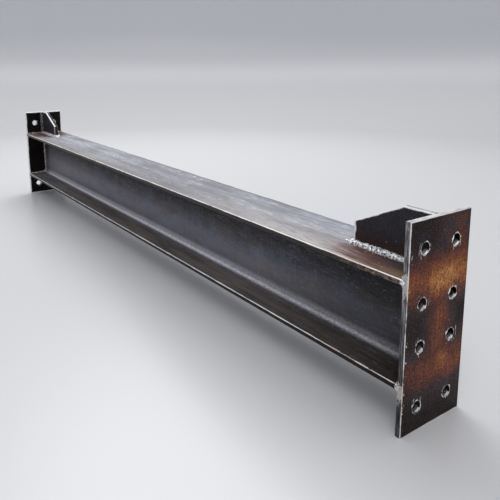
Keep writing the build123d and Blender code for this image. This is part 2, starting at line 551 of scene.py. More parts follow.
@dataclass(frozen=True)
class MillScale:
    """Hot-rolled steel under mill scale: a dark blue-grey oxide with a dull sheen, rubbed and stained, with
    painted shade and painted highlights on the section.
    """

    name: str = "mill_scale_rolled_steel"
    scale_grey: str = "#5a575c"
    scale_black: str = "#211f20"
    scale_blue: str = "#56637c"
    grain_grey: str = "#7d7d85"
    # Painted shade under the top flange, and soot with painted shade near the plate
    soot_black: str = "#15100e"
    speck_rust: str = "#75604f"
    speck_pale: str = "#a2a2aa"
    smear_brown: str = "#63503f"
    dust_brown: str = "#6c6461"
    dust_tan: str = "#7d6c5c"
    root_grey: str = "#94949a"
    # Painted sheen on the top face, over scale rubbed by handling
    rubbed_grey: str = "#919299"
    lilac_sheen: str = "#b0b4c0"
    rubbed_tan: str = "#b3a59b"
    rubbed_dark: str = "#68666c"
    rubbed_brown: str = "#8a7769"
    fillet_lilac: str = "#e4e5ec"
    rubbed_cream: str = "#cbc3bf"
    rust_tan: str = "#b17f5c"
    tip_grey: str = "#2c2725"
    tip_worn: str = "#8c7868"
    tip_black: str = "#080707"
    heat_lilac: str = "#6d5c64"
    heat_plum: str = "#5f3d32"
    heat_gold: str = "#6b5534"
    heat_straw: str = "#d8a98a"
    heat_red: str = "#4f1c0e"
    heat_dark: str = "#1c0a06"
    heat_brown: str = "#2b1d18"
    bare_steel: str = "#fbf9f7"
    # Where wear, stains and the painted fillet highlight start and are full, in X along the beam
    far_start: float = -0.3
    far_full: float = -1.05
    near_start: float = 0.3
    near_full: float = 0.85
    brown_start: float = 0.4
    brown_full: float = -0.2
    scars_start: float = 0.94
    scars_full: float = 1.06
    fillet_dullest: float = 1.08
    fillet_full: float = 0.4
    darker_middle: float = 0.2
    darker_reach: float = 0.55
    straw_middle: float = 0.99
    straw_reach: float = 0.13
    # The oxide is porous and dusty, so it shines less than its index says
    skin: Skin = Skin(shine=0.22, pit_strength=0.45, pit_depth=0.2 * MM)

    def rubbed(self, tree: FinishTree, sizes: BeamSizes) -> Socket:
        """The upper face of the top flange, where handling has rubbed the scale pale, with a painted pale
        sheen over it.

        Args:
            tree: The finish.
            sizes: The beam.

        Returns:
            Its colour.
        """
        frontwards = tree.add("MapRange", {0: tree.y, 1: 30 * MM, 2: -sizes.half_width})
        backwards = tree.add("MapRange", {0: tree.y, 1: -60 * MM, 2: 10 * MM, 3: 0.35})
        # Painted sheen in pale blue-grey patches towards the back
        sheen_patches = tree.product(backwards, tree.mottle((230, 30, 40), 0.36, 0.64, detail=6.0, seed=3.1))
        fine = tree.mottle((30, 5, 20), 0.42, 0.66, detail=6.0, seed=5.5)
        flecks = tree.product(sheen_patches, tree.mottle((30, 4.5, 20), 0.52, 0.66, detail=6.0, seed=1.6))
        tan = tree.product(frontwards, tree.mottle((190, 24, 40), 0.38, 0.58, seed=6.6))
        near_end = tree.add("MapRange", {0: tree.x, 1: self.near_start, 2: self.near_full})
        warm = tree.product(near_end, frontwards, tree.mottle((120, 16, 40), 0.28, 0.5, seed=8.3))
        clouds = tree.mottle((150, 34, 40), 0.42, 0.66, detail=5.0, seed=2.1)
        back_edge = tree.near(tree.y, sizes.half_width, 18 * MM)
        mid_length = tree.near(tree.x, self.darker_middle, self.darker_reach)
        front_edge = tree.product(
            tree.near(tree.y, -sizes.half_width, 46 * MM),
            tree.mottle((140, 22, 40), 0.36, 0.6, detail=5.0, seed=9.1),
            tree.add("MapRange", {0: tree.x, 1: self.brown_start, 2: self.brown_full}),
        )
        rust_flecks = tree.product(
            near_end, frontwards, tree.mottle((70, 10, 20), 0.54, 0.66, detail=6.0, seed=7.9)
        )
        return tree.layers(
            self.rubbed_grey,
            (clouds, self.rubbed_dark, 0.45),
            (tan, self.rubbed_tan, 0.4),
            (sheen_patches, self.lilac_sheen, 0.9),
            (warm, self.rubbed_cream, 0.7),
            (mid_length, self.rubbed_dark, 0.46),
            (front_edge, self.rubbed_brown, 0.5),
            (rust_flecks, self.rust_tan, 0.8),
            (fine, self.rubbed_dark, 0.45),
            (flecks, self.bare_steel, 0.5),
            (back_edge, self.rubbed_dark, 0.7),
        )

    def material(self, sizes: BeamSizes) -> bpy.types.Material:
        """Makes the finish of the rolled section.

        Args:
            sizes: The beam that it covers.

        Returns:
            The material.
        """
        tree = FinishTree(self.name)
        zones = SectionZones.find(tree, sizes)
        blue_band = tree.near(tree.z, sizes.shelf + 70 * MM, 100 * MM)
        blue_band = tree.product(blue_band, tree.mottle((220, 120, 48), 0.38, 0.6, seed=1.7))
        blotch = tree.mottle((75, 40, 34), 0.4, 0.64, detail=5.0, seed=2.6)
        # Grain, scuffs, specks and pits are drawn coarser than the real ones, which are too fine to show
        grain = tree.mottle((5, 5, 4), 0.44, 0.64, detail=3.0, seed=7.1)
        scuffs = tree.mottle((46, 6, 3.6), 0.54, 0.68, detail=4.0, seed=3.6)
        patches = tree.mottle((210, 17, 45), 0.42, 0.66, detail=5.0, seed=5.9)
        stains = tree.mottle((170, 15, 34), 0.4, 0.66, detail=5.0, seed=2.9)
        far = tree.add("MapRange", {0: tree.x, 1: self.far_start, 2: self.far_full})
        runs = tree.mottle((8, 30, 120), 0.46, 0.68, detail=5.0, seed=6.4)
        smears = tree.mottle((130, 40, 36), 0.45, 0.66, detail=6.0, seed=4.8)
        rust_specks = tree.mottle((6, 5, 5), 0.6, 0.68, detail=3.0, seed=4.3)
        pale_specks = tree.mottle((9, 5, 4.4), 0.62, 0.7, detail=3.0, seed=9.8)
        # Painted highlight on the root fillet, grainy and fading towards the near end
        sheen = tree.mottle((7, 4, 4), 0.34, 0.6, detail=6.0, seed=1.2)
        sheen = tree.add("MapRange", {0: sheen, 3: 0.56, 4: 1.2})
        fillet_highlight_fade = tree.add("MapRange", {0: tree.x, 1: self.fillet_dullest, 2: self.fillet_full, 3: 0.4})
        fillet = tree.product(zones.fillet, sheen, fillet_highlight_fade)
        fillet_toe = tree.product(zones.fillet_toe, sheen, fillet_highlight_fade, 0.4)
        tip_scars = tree.product(
            tree.mottle((9, 8, 4), 0.44, 0.62, detail=5.0, seed=8.6),
            tree.add("MapRange", {0: tree.x, 1: self.scars_start, 2: self.scars_full, 4: 0.9}),
        )
        heat_colour = tree.tempers(
            zones.foot_heat,
            ((0.08, self.heat_lilac), (0.19, self.heat_plum), (0.42, self.heat_red), (0.8, self.heat_dark)),
        )
        heat_colour = tree.layers(heat_colour, (zones.front_corner, self.heat_gold))
        heated = tree.add("MapRange", {0: zones.foot_heat, 1: 0.05, 2: 0.36}, **SMOOTH)
        straw = tree.near(tree.x, self.straw_middle, self.straw_reach)
        colour = tree.layers(
            self.scale_grey,
            (blue_band, self.scale_blue, 0.85),
            (blotch, self.scale_black, 0.55),
            (smears, self.smear_brown, 0.42),
            (grain, self.grain_grey, 0.3),
            (runs, self.grain_grey, 0.2),
            # Painted light on the lower web
            (zones.over_root, self.root_grey, 0.37),
            (far, self.root_grey, 0.26),
            # Painted shade on the web under the top flange
            (zones.under_flange, self.soot_black, 0.9),
            (zones.shelf, self.dust_brown, 0.9),
            (tree.product(zones.shelf, patches), self.dust_tan, 0.22),
            (tree.product(zones.shelf, far), self.root_grey, 0.4),
            (tree.product(zones.shelf, stains), self.scale_black, 0.56),
            # Soot with painted shade from the plate, at the near end
            (zones.sooted, self.soot_black, 0.64),
            (scuffs, self.grain_grey, 0.3),
            (rust_specks, self.speck_rust, 0.26),
            (pale_specks, self.speck_pale, 0.26),
            # Painted highlight on the root fillet
            (fillet_toe, self.fillet_lilac),
            (fillet, self.fillet_lilac),
            (zones.end_heat, self.heat_brown, 0.7),
            (zones.top, self.rubbed(tree, sizes)),
            (zones.top_tip, self.tip_grey, 0.9),
            (tree.product(zones.top_tip, tip_scars), self.tip_worn),
            (zones.bottom_tip, self.tip_black, 0.95),
            (heated, heat_colour, 0.92),
            (zones.arris, self.bare_steel),
            (tree.product(zones.arris, straw), self.heat_straw, 0.6),
        )
        smooth_streaks = tree.mottle((120, 6, 20), 0.38, 0.62, seed=4.1)
        roughness = tree.layers(
            0.45,
            (zones.under_flange, 0.8),
            (zones.shelf, 0.58),
            (fillet, 0.3),
            (zones.top, tree.layers(0.5, (smooth_streaks, 0.38))),
            (heated, 0.6),
            (zones.arris, 0.34),
        )
        metal = tree.layers(0.0, (zones.arris, 0.1))
        pits = tree.mottle((3.2, 3.2, 3.2), 0.3, 0.7, detail=6.0, seed=2.2)
        return tree.rolled(colour, roughness, metal, pits, self.skin)


@dataclass(frozen=True)
class PlateZones:
    """Masks and distances on one end plate."""

    broad: Socket
    outer_face: Socket
    upper_edge: Socket
    outline_arris: Socket
    bore_arris: Socket
    to_bore: Socket
    bore: Socket
    bore_depth: Socket
    chipped: Socket
    heat: Socket

    @classmethod
    def find(cls, tree: FinishTree, sizes: BeamSizes, end: End, wear: tuple[float, float]) -> PlateZones:
        """Finds the zones by place and direction.

        Args:
            tree: The finish that they are for.
            sizes: The beam.
            end: The plate's end, which says where its holes are.
            wear: The least and the greatest width of bare steel along its outline.

        Returns:
            The masks.
        """
        facing = tree.add("Math", {0: tree.nx}, operation="ABSOLUTE")
        broad = tree.add("MapRange", {0: facing, **FACING})
        from_outer = tree.add("Math", {0: sizes.plate_outer, 1: tree.along}, operation="SUBTRACT")
        outside = tree.add("MapRange", {0: from_outer, 1: 3 * MM, 2: 2 * MM})
        from_inner = tree.add("Math", {0: tree.along, 1: sizes.half_length}, operation="SUBTRACT")
        depth = tree.pick("MINIMUM", from_outer, from_inner)
        to_side = tree.add("Math", {0: sizes.half_width, 1: tree.aside}, operation="SUBTRACT")
        to_top = tree.add("Math", {0: sizes.plate_height, 1: tree.z}, operation="SUBTRACT")
        to_outline = tree.pick("MINIMUM", to_side, to_top, tree.z)
        from_row = tree.pick("MINIMUM", *[tree.offset(tree.z, row) for row in sizes.hole_rows[end]])
        from_column = tree.add("Math", {0: tree.aside, 1: sizes.half_gauge}, operation="SUBTRACT")
        from_centre = tree.add("CombineXYZ", {0: from_column, 1: from_row})
        from_centre = tree.add("VectorMath", {0: from_centre}, out="Value", operation="LENGTH")
        to_bore = tree.add("Math", {0: from_centre, 1: sizes.hole_radius}, operation="SUBTRACT")
        in_bore = tree.add("MapRange", {0: to_bore, 1: 1.0 * MM, 2: 0.4 * MM})
        across = tree.add("MapRange", {0: facing, 1: 0.6, 2: 0.4})

        # The tint follows the section welded on behind: both flanges and, weaker, the web
        from_hottest = tree.offset(tree.y, 26 * MM)
        top_heat = tree.add("MapRange", {0: from_hottest, 1: 0.0, 2: 110 * MM, 3: 1.04, 4: 0.6})
        bottom_heat = tree.add("MapRange", {0: from_hottest, 1: 0.0, 2: 116 * MM, 3: 0.7, 4: 0.32})
        behind_web = tree.near(tree.z, sizes.bottom_flange + 92 * MM, 190 * MM)
        behind_gusset = tree.near(tree.z, sizes.plate_height - 40 * MM, 120 * MM)
        tint = tree.pick(
            "MAXIMUM",
            tree.product(tree.near(tree.z, sizes.top_flange - 6 * MM, 76 * MM), top_heat),
            tree.product(tree.near(tree.z, sizes.bottom_flange + 20 * MM, 80 * MM), bottom_heat),
            tree.product(tree.near(tree.y, 10 * MM, 64 * MM), behind_web, 0.58),
            tree.product(tree.near(tree.y, 48 * MM, 84 * MM), behind_gusset, 0.4),
        )
        uneven = tree.mottle((60, 44, 34), 0.25, 0.75, detail=6.0, seed=2.8)
        uneven = tree.add("MapRange", {0: uneven, 3: 0.74, 4: 1.16})
        streaks = tree.mottle((40, 5, 60), 0.3, 0.7, detail=6.0, seed=5.7)
        streaks = tree.add("MapRange", {0: streaks, 3: 0.86, 4: 1.1})
        specks = tree.mottle((3, 3.4, 4.2), 0.25, 0.75, detail=4.0, seed=9.7)
        specks = tree.add("MapRange", {0: specks, 3: 0.7, 4: 1.3})
        return cls(
            broad=broad,
            outer_face=tree.product(broad, outside),
            upper_edge=tree.add("MapRange", {0: tree.nz, 1: 0.5, 2: 0.8}),
            outline_arris=tree.worn(
                tree.pick("MAXIMUM", from_outer if end is End.RIGHT else depth, to_outline),
                tree.mottle((14, 26, 26), 0.3, 0.66, detail=6.0, seed=6.3),
                *wear,
            ),
            bore_arris=tree.worn(
                tree.pick("MAXIMUM", depth, to_bore),
                tree.mottle((10, 8, 8), 0.4, 0.68, detail=5.0, seed=3.9),
                0.2 * MM,
                3.6 * MM,
            ),
            to_bore=to_bore,
            bore=tree.product(in_bore, across),
            bore_depth=from_outer,
            chipped=tree.product(
                tree.add("MapRange", {0: tree.y, 1: 9 * MM - sizes.half_width, 2: 6 * MM - sizes.half_width}),
                tree.mottle((20, 8, 11), 0.6, 0.65, detail=4.0, seed=7.7),
            ),
            heat=tree.product(tint, uneven, streaks, specks),
        )


@dataclass(frozen=True)
class HeatTintedPlate:
    """Sawn hot-rolled plate, tinted by the welding on its inner face and rubbed bare along its edges."""

    name: str = "heat_tinted_plate_steel"
    black_scale: str = "#0c0b0c"
    cold_scale: str = "#171112"
    grain_grey: str = "#4a3f3f"
    temper_purple: str = "#36262a"
    temper_blue: str = "#2a3040"
    temper_red: str = "#5f3128"
    temper_brown: str = "#82462e"
    temper_orange: str = "#ad6836"
    temper_straw: str = "#d0995e"
    sawn_dark: str = "#19171a"
    sawn_pale: str = "#a09fa4"
    # Painted light on the edge that faces up
    lit_top_pale: str = "#e2e2e4"
    ground_pale: str = "#cfc7bd"
    bore_dark: str = "#0b090a"
    # Painted sheen and painted highlight inside the holes
    bore_grey: str = "#84858a"
    bore_pale: str = "#fbfaf9"
    bare_steel: str = "#f3e8e0"
    # Porous oxide hardly shines
    skin: Skin = Skin(shine=0.12, pit_strength=0.45, pit_depth=0.2 * MM)
    edge_wear: float = 0.0
    lip_side: tuple[float, float, float] = (-0.5, 0.866, 0.0)
    outline_wear: tuple[float, float] = (0.7 * MM, 1.7 * MM)

    def face(self, tree: FinishTree, zones: PlateZones) -> Socket:
        """The broad faces: temper colours outside and black scale inside.

        Args:
            tree: The finish.
            zones: The plate's masks.

        Returns:
            Their colour.
        """
        tint = tree.tempers(
            zones.heat,
            (
                (0.0, self.cold_scale),
                (0.2, self.temper_purple),
                (0.4, self.temper_red),
                (0.58, self.temper_brown),
                (0.8, self.temper_orange),
                (1.0, self.temper_straw),
            ),
        )
        around_bore = tree.add("MapRange", {0: zones.to_bore, 1: 24 * MM, 2: 4 * MM}, **SMOOTH)
        blue_fringe = tree.pick("MAXIMUM", tree.near(zones.heat, 0.26, 0.14), tree.product(around_bore, 0.8))
        blue_fringe = tree.product(blue_fringe, tree.mottle((40, 26, 26), 0.44, 0.62, seed=7.4))
        # Flakes, dirt, grain and nicks are drawn as coarse as they need to show
        flakes = tree.mottle((3, 2.6, 3.2), 0.56, 0.64, detail=3.0, seed=1.9)
        dirt = tree.mottle((6, 5, 8), 0.46, 0.64, detail=6.0, seed=4.2)
        grain = tree.mottle((4, 3.4, 4.4), 0.46, 0.66, detail=4.0, seed=6.2)
        nicks = tree.mottle((4, 3, 3.6), 0.69, 0.73, detail=2.0, seed=3.2)
        beside_bore = tree.add("MapRange", {0: zones.to_bore, 1: 10 * MM, 2: 7 * MM})
        upright_marks = tree.mottle((20, 2.4, 22), 0.62, 0.68, detail=1.0, seed=8.1)
        some_bores = tree.mottle((60, 60, 60), 0.5, 0.58, detail=0.0, seed=6.1)
        scrapes = tree.product(upright_marks, beside_bore, some_bores)
        warmth = tree.add("Math", {0: zones.heat, 1: 0.25}, operation="ADD")
        outside = tree.layers(
            tint,
            (blue_fringe, self.temper_blue, 0.75),
            (dirt, self.cold_scale, 0.5),
            (grain, self.grain_grey, 0.26),
            (tree.product(flakes, warmth), self.temper_straw, 0.42),
            (nicks, self.sawn_pale, 0.5),
            (scrapes, self.bare_steel, 0.8),
            (zones.chipped, self.bare_steel, 0.75),
        )
        warmed = tree.product(zones.heat, dirt)
        inside = tree.layers(self.black_scale, (warmed, self.temper_brown, 0.3))
        return tree.layers(inside, (zones.outer_face, outside))

    def edge(self, tree: FinishTree, sizes: BeamSizes, zones: PlateZones, saw: Socket) -> Socket:
        """The sawn edges: dark and streaked, ground pale beside the flanges, and painted pale where they face
        up.

        Args:
            tree: The finish.
            sizes: The beam.
            zones: The plate's masks.
            saw: The saw's streaks.

        Returns:
            Their colour.
        """
        beside_flange = tree.pick(
            "MAXIMUM",
            tree.near(tree.z, sizes.top_flange - 4 * MM, 44 * MM),
            tree.near(tree.z, sizes.bottom_flange - 8 * MM, 40 * MM),
        )
        ragged = tree.mottle((6, 20, 12), 0.25, 0.75, detail=6.0, seed=5.2)
        ground = tree.add("Math", {0: beside_flange, 1: tree.product(ragged, 0.8)}, operation="ADD")
        ground = tree.add("MapRange", {0: ground, 1: 0.9, 2: 1.1})
        stains = tree.mottle((8, 30, 30), 0.44, 0.62, seed=4.9)
        upwards = tree.add("MapRange", {0: tree.z, 1: sizes.bottom_flange, 2: sizes.top_flange, 3: 0.22})
        grit = tree.mottle((3, 3, 3), 0.34, 0.62, detail=3.0, seed=6.6)
        ground_colour = tree.layers(self.ground_pale, (grit, self.sawn_pale, 0.6))
        rubbed = tree.add("MapRange", {0: saw, 3: 0.6})
        clean = tree.add("MapRange", {0: stains, 3: 0.95, 4: 0.6})
        return tree.layers(
            self.sawn_dark,
            (tree.product(saw, upwards), self.sawn_pale),
            (stains, self.sawn_dark, 0.6),
            (rubbed, self.bare_steel, self.edge_wear),
            (ground, ground_colour, 0.85),
            # Painted light: the edge that faces up is painted pale
            (tree.product(zones.upper_edge, clean), self.lit_top_pale),
        )

    def bores(self, tree: FinishTree, zones: PlateZones) -> Socket:
        """The walls of the holes: dark, with a painted highlight as a pale crescent near the mouth low on one
        side, and a painted grey sheen on the walls that face up.

        Args:
            tree: The finish.
            zones: The plate's masks.

        Returns:
            Their colour.
        """
        # Painted highlight: the side where lamp light falls in through the mouth is painted pale near the
        # mouth
        low_side = tree.add(
            "VectorMath",
            {0: tree.add("CombineXYZ", {0: tree.ny, 1: tree.nz}), 1: self.lip_side},
            out="Value",
            operation="DOT_PRODUCT",
        )
        low_side = tree.add("MapRange", {0: low_side, 1: 0.83, 2: 0.93}, **SMOOTH)
        lip_highlight = tree.product(low_side, tree.add("MapRange", {0: zones.bore_depth, 1: 4.4 * MM, 2: 3.2 * MM}))
        # Painted sheen: the walls that face up are painted grey partway in
        lower_half = tree.add("MapRange", {0: tree.nz, 1: 0.1, 2: 0.7}, **SMOOTH)
        sheen = tree.product(lower_half, tree.near(zones.bore_depth, 7 * MM, 4.5 * MM))
        patchy = tree.mottle((5, 6, 6), 0.3, 0.5, seed=1.4)
        return tree.layers(
            self.bore_dark,
            (tree.product(sheen, patchy), self.bore_grey, 0.7),
            (lip_highlight, self.bore_pale),
        )

    def material(self, sizes: BeamSizes, end: End) -> bpy.types.Material:
        """Makes the finish of one end plate.

        Args:
            sizes: The beam that it belongs to.
            end: The plate's end.

        Returns:
            The material.
        """
        tree = FinishTree(f"{self.name}_{end.word}")
        zones = PlateZones.find(tree, sizes, end, self.outline_wear)
        saw = tree.mottle((1.8, 8, 40), 0.34, 0.58, detail=6.0, seed=3.7)
        bare = tree.pick("MAXIMUM", zones.outline_arris, zones.bore_arris)
        colour = tree.layers(
            self.edge(tree, sizes, zones, saw),
            (zones.broad, self.face(tree, zones)),
            (bare, self.bare_steel),
            (zones.bore, self.bores(tree, zones)),
        )
        uneven = tree.mottle((30, 24, 24), 0.3, 0.7, seed=6.9)
        roughness = tree.layers(
            0.5,
            (zones.broad, tree.layers(0.44, (uneven, 0.58))),
            (bare, 0.34),
            (zones.bore, 0.3),
        )
        # The rounded mouth of a hole catches the lamps as a mirror does
        mouth = tree.add("MapRange", {0: zones.bore_depth, 1: 1.6 * MM, 2: 1.0 * MM})
        metal = tree.layers(
            0.0,
            (zones.outline_arris, 0.2),
            (zones.bore_arris, 0.3),
            (zones.bore, tree.layers(0.0, (mouth, 0.85))),
        )
        # Pits are drawn coarser than the real ones, which are too fine to show
        pits = tree.mottle((3.4, 3.4, 3.4), 0.3, 0.7, detail=6.0, seed=2.2)
        relief = tree.layers(saw, (zones.broad, pits))
        return tree.rolled(colour, roughness, metal, relief, self.skin)


@dataclass(frozen=True)
class BlackPlate:
    """Flame-cut hot-rolled plate: near-black scale on its broad faces, its cut edges ground bright."""

    name: str = "black_plate_steel"
    black_scale: str = "#1e1c21"
    grey_scale: str = "#2e2c34"
    grain_grey: str = "#413d44"
    heat_brown: str = "#331f14"
    cut_dark: str = "#121113"
    cut_grey: str = "#8b8a8c"
    cut_pale: str = "#d6d5d4"
    bare_steel: str = "#faf8f6"
    skin: Skin = Skin(shine=0.18, pit_strength=0.35, pit_depth=0.15 * MM)
    top_flat: float = 65 * MM
    nose_height: float = 47 * MM

    def from_arris(self, tree: FinishTree, sizes: BeamSizes) -> Socket:
        """Measures how far the surface is from the free arrises of a gusset.

        Args:
            tree: The finish.
            sizes: The beam.

        Returns:
            The distance.
        """
        depth = tree.add("Math", {0: sizes.half_gusset, 1: tree.aside}, operation="SUBTRACT")
        to_top = tree.add("Math", {0: sizes.plate_height, 1: tree.z}, operation="SUBTRACT")
        to_nose = tree.add("Math", {0: tree.along, 1: sizes.gusset_nose}, operation="SUBTRACT")
        run = sizes.half_length - self.top_flat - sizes.gusset_nose
        rise = sizes.plate_height - sizes.beam_top - self.nose_height
        slope = math.hypot(run, rise)
        nose_top = sizes.beam_top + self.nose_height
        under_slope = tree.add(
            "VectorMath",
            {0: tree.add("CombineXYZ", {0: to_nose, 1: tree.z}), 1: (rise / slope, -run / slope, 0.0)},
            out="Value",
            operation="DOT_PRODUCT",
        )
        to_slope = tree.add("Math", {0: under_slope, 1: nose_top * run / slope}, operation="ADD")
        # Ground back further down the nose
        return tree.pick("MAXIMUM", depth, tree.pick("MINIMUM", to_top, tree.product(to_nose, 0.5), to_slope))

    def material(self, sizes: BeamSizes) -> bpy.types.Material:
        """Makes the finish of the gussets.

        Args:
            sizes: The beam that they stand on.

        Returns:
            The material.
        """
        tree = FinishTree(self.name)
        facing = tree.add("Math", {0: tree.ny}, operation="ABSOLUTE")
        broad = tree.add("MapRange", {0: facing, **FACING})
        ragged = tree.mottle((22, 9, 16), 0.3, 0.66, detail=5.0, seed=6.3)
        bare = tree.worn(self.from_arris(tree, sizes), ragged, 2.2 * MM, 3.8 * MM)
        # The back arris below the top edge and the nose at the far end stay dull
        to_top = tree.add("Math", {0: sizes.plate_height, 1: tree.z}, operation="SUBTRACT")
        below_top = tree.add("MapRange", {0: to_top, 1: 1 * MM, 2: 3 * MM})
        behind = tree.add("MapRange", {0: tree.y, 1: -2 * MM, 2: 0.0})
        at_nose = tree.near(tree.along, sizes.gusset_nose, 5 * MM)
        far_end = tree.add("MapRange", {0: tree.x, 1: 0.1, 2: -0.1})
        for dull in (tree.product(below_top, behind), tree.product(at_nose, far_end)):
            bare = tree.product(bare, tree.add("MapRange", {0: dull, 3: 1.0, 4: 0.1}))
        over_flange = tree.add("Math", {0: tree.z, 1: sizes.beam_top}, operation="SUBTRACT")
        heat = tree.add("MapRange", {0: over_flange, 1: 48 * MM, 2: 10 * MM}, **SMOOTH)
        heat = tree.product(heat, tree.mottle((40, 30, 26), 0.3, 0.6, seed=5.1))
        patches = tree.mottle((60, 30, 60), 0.4, 0.62, seed=3.3)
        # Marks, grain, cutting lines and pits are drawn as coarse as they need to show
        marks = tree.mottle((14, 5, 2), 0.7, 0.74, detail=2.0, seed=8.8)
        grain = tree.mottle((4, 4, 4), 0.44, 0.66, detail=4.0, seed=6.2)
        lines = tree.mottle((60, 4, 3), 0.36, 0.62, detail=5.0, seed=2.9)
        endwise = tree.add("Math", {0: tree.nx}, operation="ABSOLUTE")
        nose = tree.add("MapRange", {0: endwise, **SQUARE_ON})
        off_front = tree.add("MapRange", {0: tree.y, 1: -2.5 * MM, 2: 0.0})
        slope = tree.product(tree.near(endwise, 0.42, 0.3), off_front)
        shaded = tree.pick("MAXIMUM", nose, slope)
        cut = tree.layers(
            self.cut_grey,
            (lines, self.cut_pale),
            (shaded, self.cut_dark, 0.94),
        )
        scale = tree.layers(
            self.black_scale,
            (patches, self.grey_scale, 0.7),
            (heat, self.heat_brown, 0.9),
            (grain, self.grain_grey, 0.4),
            (marks, self.cut_grey, 0.3),
        )
        colour = tree.layers(cut, (broad, scale), (bare, self.bare_steel))
        roughness = tree.layers(
            0.45,
            (shaded, 1.0),
            (broad, tree.layers(0.46, (patches, 0.54))),
            (bare, 0.38),
        )
        metal = tree.layers(0.25, (shaded, 0.0), (broad, 0.0), (bare, 0.05))
        pits = tree.mottle((3, 3, 3), 0.3, 0.7, detail=6.0, seed=2.2)
        return tree.rolled(colour, roughness, metal, pits, self.skin)


@dataclass(frozen=True)
class WeldMetal:
    """Wire-brushed fillet weld: bright crests on the ripples, partly polished metal and partly a painted
    highlight, with dark oxide between them.
    """

    name: str = "brushed_weld_metal"
    # Painted highlight on the crests, over metal polished by the brush
    crest: str = "#f8fafc"
    fleck: str = "#4d4946"
    valley: str = "#15110f"
    bright_from: float = 0.37
    bright_to: float = 0.52
    hollow: float = 0.47
    sharp: float = 0.504
    grit_strength: float = 0.7
    grit_depth: float = 0.4 * MM

    def material(self) -> bpy.types.Material:
        """Makes the finish of the beads.

        Returns:
            The material.
        """
        tree = FinishTree(self.name)
        crest = tree.add("NewGeometry", out="Pointiness")
        crest = tree.add("MapRange", {0: crest, 1: self.hollow, 2: self.sharp})
        patches = tree.mottle((4.2, 4.2, 4.2), self.bright_from, self.bright_to, detail=5.0, seed=1.1)
        # Painted highlight on the crests, over metal polished by the brush
        bright = tree.product(crest, patches)
        colour = tree.layers(self.valley, (crest, self.fleck), (bright, self.crest))
        roughness = tree.layers(0.55, (bright, 0.24))
        metal = tree.layers(0.2, (bright, 0.7))
        # Grit is drawn coarser than the real one, which is too fine to show
        grit = tree.mottle((1.6, 1.6, 1.6), 0.3, 0.7, detail=3.0, seed=4.6)
        depth = {"Strength": self.grit_strength, "Distance": self.grit_depth}
        bump = tree.add("Bump", {**depth, "Height": grit})
        coats = {"Base Color": colour, "Roughness": roughness, "Metallic": metal}
        tree.feed(tree.shader, {**coats, "Normal": bump})
        return tree.material


@dataclass(frozen=True)
class Straight:
    """A straight stretch of a seam, and the two directions that its bead stands between."""

    start: Vector
    end: Vector
    outward: Vector
    away: Vector
    lift: float = RIPPLE_LIFT
    last_scale: float = 1.0

    @property
    def length(self) -> float:
        """The length that the ripples are spaced over."""
        return (self.end - self.start).length

    def at(self, share: float) -> tuple[Vector, Vector]:
        """The root of the seam and the outward direction, at a share of the length."""
        return self.start.lerp(self.end, share), self.outward


@dataclass(frozen=True)
class Turn:
    """A stretch of a seam that turns about a pivot, inside a root fillet or round a corner."""

    pivot: Vector
    radius: float
    first: Vector
    last: Vector
    away: Vector
    spread: float
    lift: float = RIPPLE_LIFT
    last_scale: float = 1.0

    @property
    def length(self) -> float:
        """The length that the ripples are spaced over."""
        return self.spread * self.first.angle(self.last)

    def at(self, share: float) -> tuple[Vector, Vector]:
        """The root of the seam and the outward direction, at a share of the turn."""
        outward = self.first.slerp(self.last, share)
        return self.pivot - outward * self.radius, outward


@dataclass(frozen=True)
class Ripple:
    """The place of one ripple of a bead."""

    root: Vector
    rise: Vector
    across: Vector
    lift: float
    scale: float


@dataclass(frozen=True)
class BeadForm:
    """How a bead is rippled: each ripple's size as shares of the leg, their pitch, lean and unevenness."""

    shape: tuple[float, float, float]
    pitch: float
    voxel: float
    lean: float = math.radians(30)
    leg_range: tuple[float, float] = (0.84, 1.1)
    wander: float = 0.07
    lens_sides: int = 16
    lens_rings: int = 10
    smoothing: int = 2


GUSSET_BEAD = BeadForm((0.4, 0.75, 0.52), 4.2 * MM, 0.6 * MM, lean=math.radians(38))
BEAM_BEAD = BeadForm((0.62, 0.78, 0.52), 5.4 * MM, 0.7 * MM)
TIP_BEAD = BeadForm((0.45, 0.9, 0.36), 2.6 * MM, 0.5 * MM)


def join_copies(pattern: bpy.types.Object, places: list[Matrix], name: str) -> bpy.types.Object:
    """Copies a modelled shape to each place and joins the copies.

    Args:
        pattern: The shape, which is removed afterwards.
        places: Where each copy stands, how it is turned and how large it is.
        name: The name of the joined piece.

    Returns:
        The piece, with its place in its mesh.
    """
    copies = []
    for place in places:
        copy = pattern.copy()
        copy.data = pattern.data.copy()
        bpy.context.collection.objects.link(copy)
        copy.matrix_world = place
        copies.append(copy)
    bpy.data.objects.remove(pattern)
    for copy in copies:
        copy.select_set(True)
    bpy.context.view_layer.objects.active = copies[0]
    bpy.ops.object.join()
    piece = bpy.context.object
    piece.name = piece.data.name = name
    bpy.ops.object.transform_apply(location=True, rotation=True, scale=True)
    return piece


def finish_weld(piece: bpy.types.Object, material: bpy.types.Material) -> None:
    """Smooths and dresses a piece of weld metal and ties it to the beam.

    Args:
        piece: The piece, which is the active object.
        material: Its finish.
    """
    bpy.ops.object.shade_smooth()
    piece.data.materials.clear()
    piece.data.materials.append(material)
    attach(piece, BODY)


